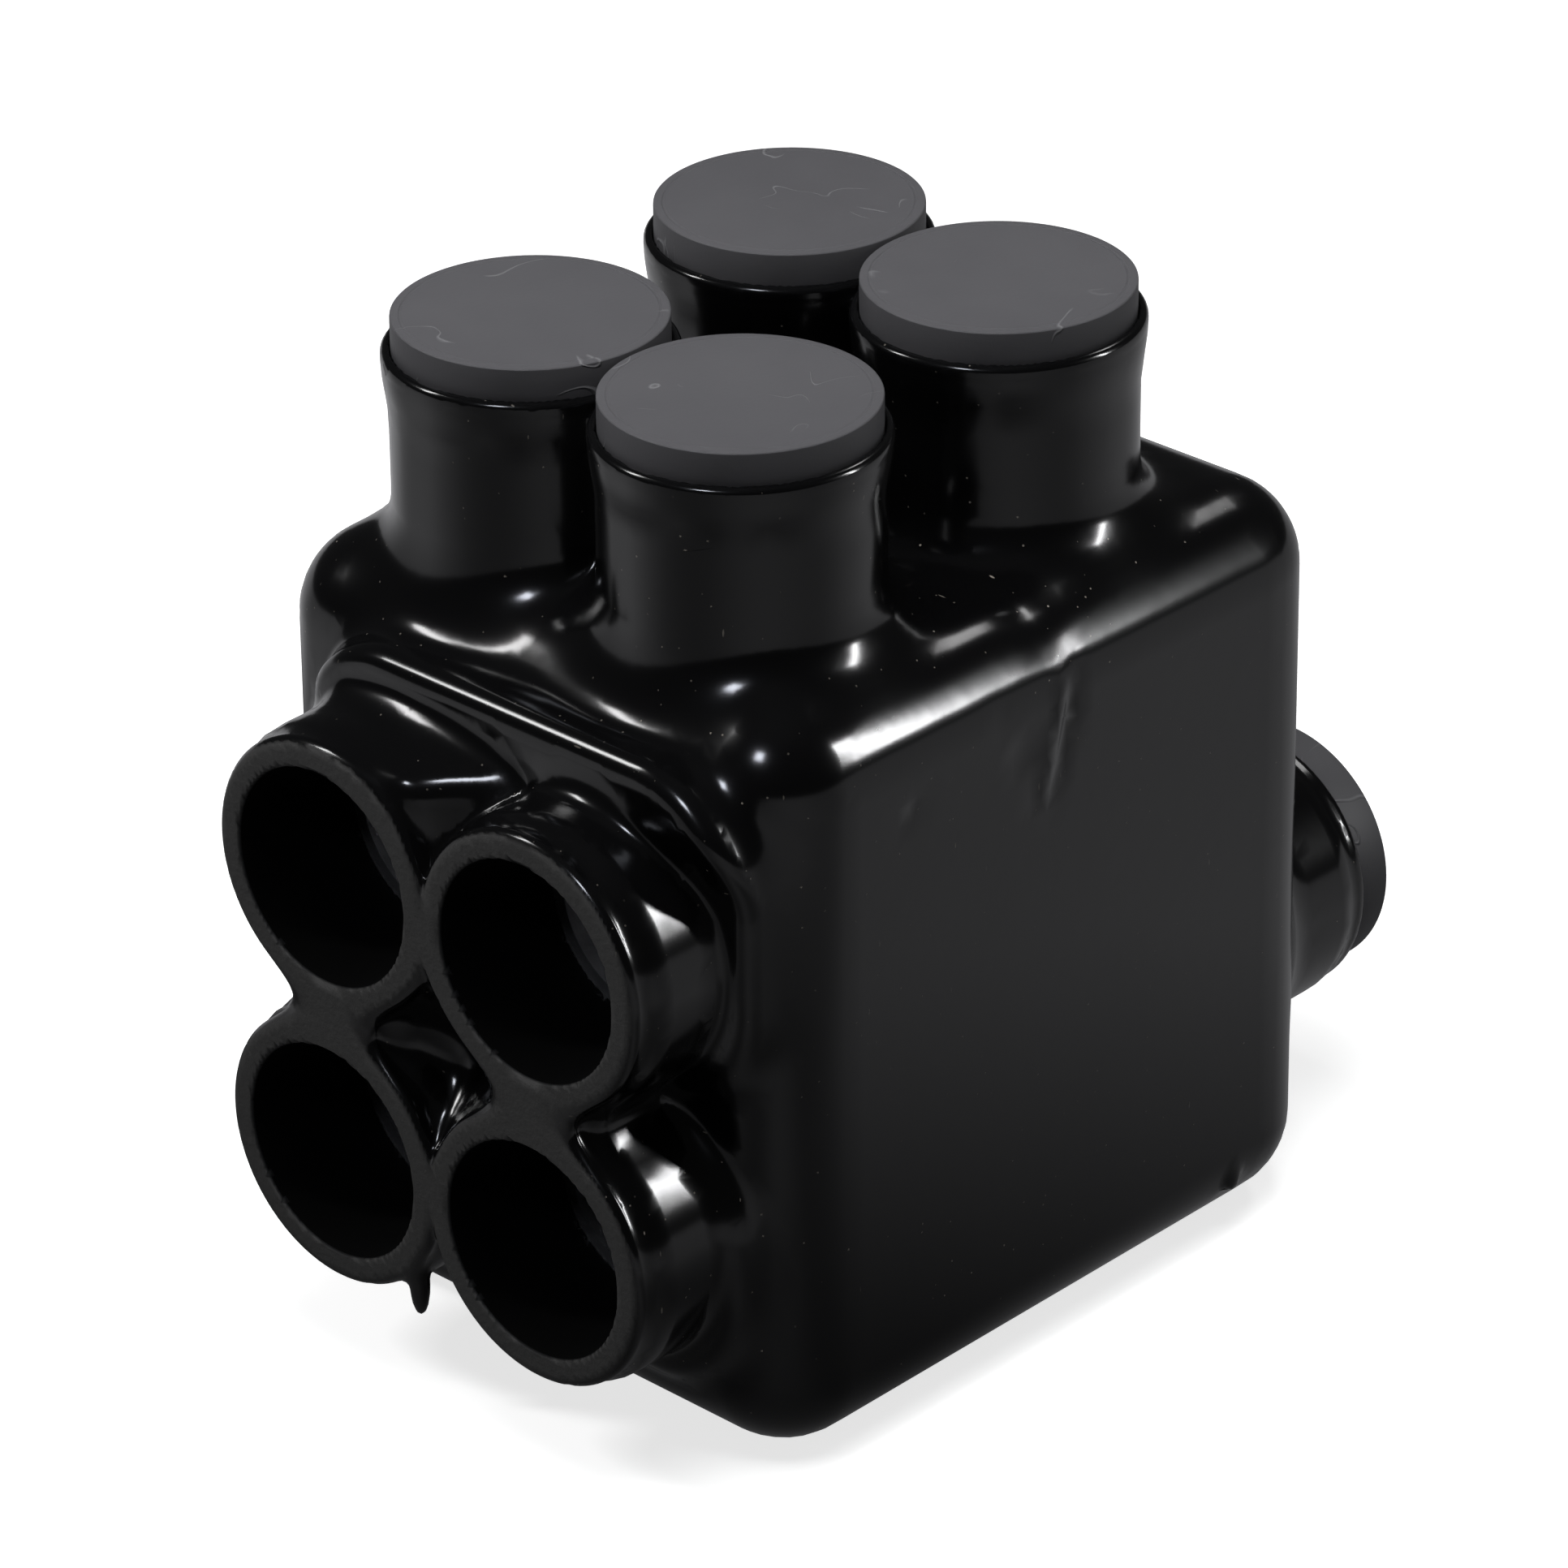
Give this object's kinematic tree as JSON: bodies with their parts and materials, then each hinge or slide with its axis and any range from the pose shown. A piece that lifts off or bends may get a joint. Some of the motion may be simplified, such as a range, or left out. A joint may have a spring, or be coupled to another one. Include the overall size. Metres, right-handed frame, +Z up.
{
  "type": "insulated cable connector block",
  "caption": "Black insulated connector block: cables enter sleeves at the front, plugged set screws on top clamp them, lower bores run through to plugged rear ports.",
  "frame": {"origin": "middle of the flat underside of the aluminium block's jacket", "axes": "+Z up, out of the screw towers; -Y out of the front cable ports; +Y out of the rear ports; X across the two columns of ports"},
  "size_m": [0.0844, 0.1342, 0.1242],
  "materials": {
    "jacket": "glossy dip-moulded PVC",
    "plug": "matte moulded rubber",
    "block": "tin-plated, satin",
    "screw": "machined"
  },
  "bodies": {
    "housing": {"jacket_body": "jacket", "front_sleeve_upper_left": "jacket", "front_sleeve_lower_left": "jacket", "rear_sleeve_left": "jacket", "screw_tower_front_left": "jacket", "screw_tower_back_left": "jacket", "front_sleeve_upper_right": "jacket", "front_sleeve_lower_right": "jacket", "rear_sleeve_right": "jacket", "screw_tower_front_right": "jacket", "screw_tower_back_right": "jacket", "connector_block": "block"},
    "set_screw_front_left": {"set_screw_front_left": "screw"},
    "access_plug_front_left": {"access_plug_front_left": "plug"},
    "set_screw_back_left": {"set_screw_back_left": "screw"},
    "access_plug_back_left": {"access_plug_back_left": "plug"},
    "rear_port_plug_left": {"rear_port_plug_left": "plug"},
    "set_screw_front_right": {"set_screw_front_right": "screw"},
    "access_plug_front_right": {"access_plug_front_right": "plug"},
    "set_screw_back_right": {"set_screw_back_right": "screw"},
    "access_plug_back_right": {"access_plug_back_right": "plug"},
    "rear_port_plug_right": {"rear_port_plug_right": "plug"}
  },
  "joints": [
    {"name": "set_screw_front_left_travel", "type": "slide", "parent": "housing", "child": "set_screw_front_left", "axis": [0, 0, -1], "range_m": [0, 0.018]},
    {"name": "access_plug_front_left_pull", "type": "slide", "parent": "housing", "child": "access_plug_front_left", "axis": [0, 0, 1], "range_m": [0, 0.03]},
    {"name": "set_screw_back_left_travel", "type": "slide", "parent": "housing", "child": "set_screw_back_left", "axis": [0, 0, -1], "range_m": [0, 0.018]},
    {"name": "access_plug_back_left_pull", "type": "slide", "parent": "housing", "child": "access_plug_back_left", "axis": [0, 0, 1], "range_m": [0, 0.03]},
    {"name": "rear_port_plug_left_pull", "type": "slide", "parent": "housing", "child": "rear_port_plug_left", "axis": [0, 1, 0], "range_m": [0, 0.03]},
    {"name": "set_screw_front_right_travel", "type": "slide", "parent": "housing", "child": "set_screw_front_right", "axis": [0, 0, -1], "range_m": [0, 0.018]},
    {"name": "access_plug_front_right_pull", "type": "slide", "parent": "housing", "child": "access_plug_front_right", "axis": [0, 0, 1], "range_m": [0, 0.03]},
    {"name": "set_screw_back_right_travel", "type": "slide", "parent": "housing", "child": "set_screw_back_right", "axis": [0, 0, -1], "range_m": [0, 0.018]},
    {"name": "access_plug_back_right_pull", "type": "slide", "parent": "housing", "child": "access_plug_back_right", "axis": [0, 0, 1], "range_m": [0, 0.03]},
    {"name": "rear_port_plug_right_pull", "type": "slide", "parent": "housing", "child": "rear_port_plug_right", "axis": [0, 1, 0], "range_m": [0, 0.03]}
  ]
}
